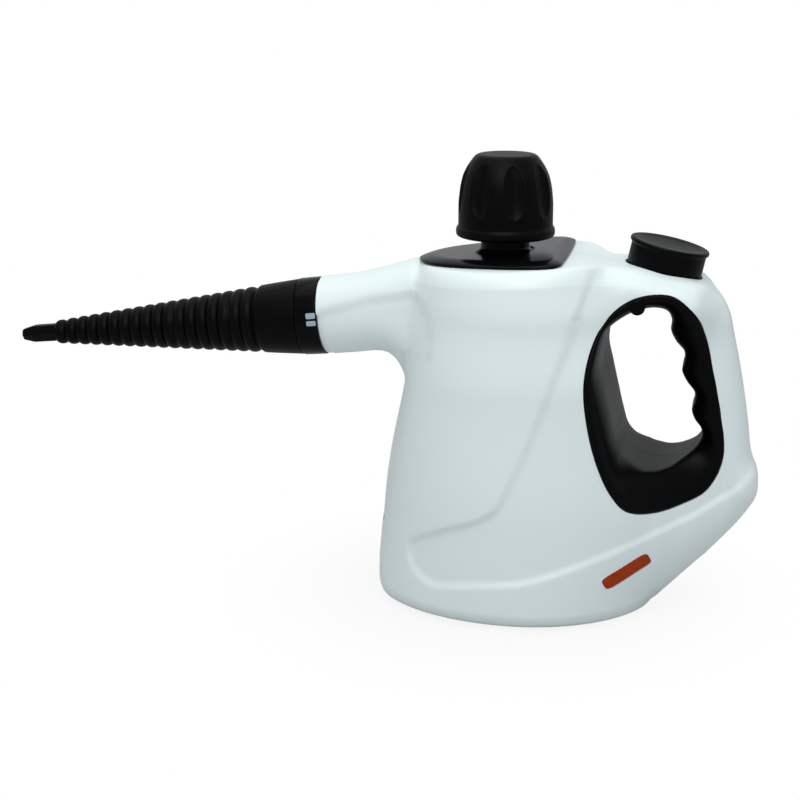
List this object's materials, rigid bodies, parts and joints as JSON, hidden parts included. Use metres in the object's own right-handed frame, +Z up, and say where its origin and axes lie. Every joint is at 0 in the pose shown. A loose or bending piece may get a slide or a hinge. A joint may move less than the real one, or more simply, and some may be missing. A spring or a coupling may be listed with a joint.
{
  "type": "handheld steam cleaner",
  "caption": "Handheld pressure steam cleaner with a loop handle, a safety cap over the boiler's filler, a thumb steam button and a ribbed cone nozzle.",
  "frame": {"origin": "centre of the rubber pad's underside, the face that the cleaner stands on", "axes": "+X towards the handle, -X towards the nozzle, +Z up, so +Y is on the left hand of a view from the handle's end; the lens is on the -Y side"},
  "size_m": [0.4134, 0.141, 0.2405],
  "materials": {
    "shell_white": "satin white moulding",
    "matte_black": "satin black moulding",
    "gloss_black": "glossy black moulding",
    "rubber": "black rubber",
    "brass": "machined brass",
    "alloy": "cast alloy",
    "steel": "plain steel",
    "amber": "clear amber moulding",
    "ceramic": "pale heat-proof moulding",
    "wire_brown": "brown insulation",
    "wire_blue": "blue insulation"
  },
  "bodies": {
    "housing": {"body_shell_left": "shell_white", "body_shell_right": "shell_white", "handle_insert_left": "matte_black", "handle_insert_right": "matte_black", "button_guide": "matte_black", "cord_gland": "matte_black", "deck_plate": "gloss_black", "outlet_ring": "gloss_black", "base_pad": "rubber", "boiler_gasket": "rubber", "steam_pipe": "rubber", "filler_neck": "brass", "valve_body": "brass", "valve_cap": "brass", "outlet_spigot": "brass", "boiler_lower": "alloy", "boiler_upper": "alloy", "valve_spring": "steel", "button_spring": "steel", "lever_pin": "steel", "heating_element": "steel", "thermal_fuse": "steel", "boiler_bolt_1": "steel", "boiler_bolt_2": "steel", "boiler_bolt_3": "steel", "boiler_bolt_4": "steel", "boiler_bolt_5": "steel", "boiler_bolt_6": "steel", "body_screw_1": "steel", "body_screw_2": "steel", "body_screw_3": "steel", "body_screw_4": "steel", "body_screw_5": "steel", "body_screw_6": "steel", "indicator_lens": "amber", "indicator_lamp": "ceramic", "thermostat": "ceramic", "terminal_block": "ceramic", "element_wire_left": "wire_brown", "supply_wire_left": "wire_brown", "element_wire_right": "wire_blue", "supply_wire_right": "wire_blue"},
    "cap_seal": {"cap_gasket": "rubber"},
    "cap_washer": {"cap_washer": "steel"},
    "cap_core": {"cap_core": "brass", "cap_clip": "steel", "cap_spring": "steel", "relief_spring": "steel", "relief_plug": "brass"},
    "cap_knob": {"cap_knob": "matte_black"},
    "relief_pin": {"relief_pin": "brass"},
    "steam_button": {"steam_button": "matte_black"},
    "trigger_lever": {"trigger_lever": "matte_black"},
    "valve_stem": {"valve_stem": "steel"},
    "lock_pin": {"lock_pin": "matte_black"},
    "nozzle_seal": {"nozzle_seal": "rubber"},
    "nozzle": {"nozzle_sleeve": "matte_black", "nozzle_tip": "matte_black"}
  },
  "joints": [
    {"name": "cap_lift", "type": "slide", "parent": "housing", "child": "cap_seal", "axis": [0, 0, 1], "range_m": [0, 0.06]},
    {"name": "cap_rise", "type": "slide", "parent": "cap_seal", "child": "cap_washer", "axis": [0, 0, 1], "range_m": [0, 0.0076]},
    {"name": "cap_turn", "type": "hinge", "parent": "cap_washer", "child": "cap_core", "pos_m": [-0.00299, 0, 0.1914], "axis": [0, 0, 1], "range_deg": [0, 900]},
    {"name": "knob_press", "type": "slide", "parent": "cap_core", "child": "cap_knob", "axis": [0, 0, -1], "range_m": [0, 0.003], "stiffness_N_per_m": 2000, "springref_m": -0.001, "deforming": ["cap_spring"]},
    {"name": "relief_lift", "type": "slide", "parent": "cap_core", "child": "relief_pin", "axis": [0, 0, 1], "range_m": [0, 0.0012], "stiffness_N_per_m": 2500, "springref_m": -0.002, "deforming": ["relief_spring"]},
    {"name": "steam_button_press", "type": "slide", "parent": "housing", "child": "steam_button", "axis": [-0.2079, 0, -0.9781], "range_m": [0, 0.004], "stiffness_N_per_m": 1500, "springref_m": -0.001, "deforming": ["button_spring"]},
    {"name": "lever_swing", "type": "hinge", "parent": "housing", "child": "trigger_lever", "pos_m": [0.04999, 0, 0.17353], "axis": [0, 1, 0], "range_deg": [0, 7.1]},
    {"name": "valve_lift", "type": "slide", "parent": "housing", "child": "valve_stem", "axis": [0, 0, 1], "range_m": [0, 0.0037], "deforming": ["valve_spring"]},
    {"name": "lock_slide", "type": "slide", "parent": "housing", "child": "lock_pin", "axis": [0, 1, 0], "range_m": [0, 0.006]},
    {"name": "nozzle_pull", "type": "slide", "parent": "housing", "child": "nozzle_seal", "axis": [-0.9948, 0, -0.1018], "range_m": [0, 0.06]},
    {"name": "nozzle_twist", "type": "hinge", "parent": "nozzle_seal", "child": "nozzle", "pos_m": [-0.10151, 0, 0.15021], "axis": [-0.9948, 0, -0.1018], "range_deg": [0, 45]}
  ],
  "couplings": [
    {"joint": "cap_rise", "follows": "cap_turn", "m_per_rad": 0.00047746},
    {"joint": "lever_swing", "follows": "steam_button_press", "rad_per_m": 30.543},
    {"joint": "valve_lift", "follows": "steam_button_press", "ratio": 0.9}
  ]
}
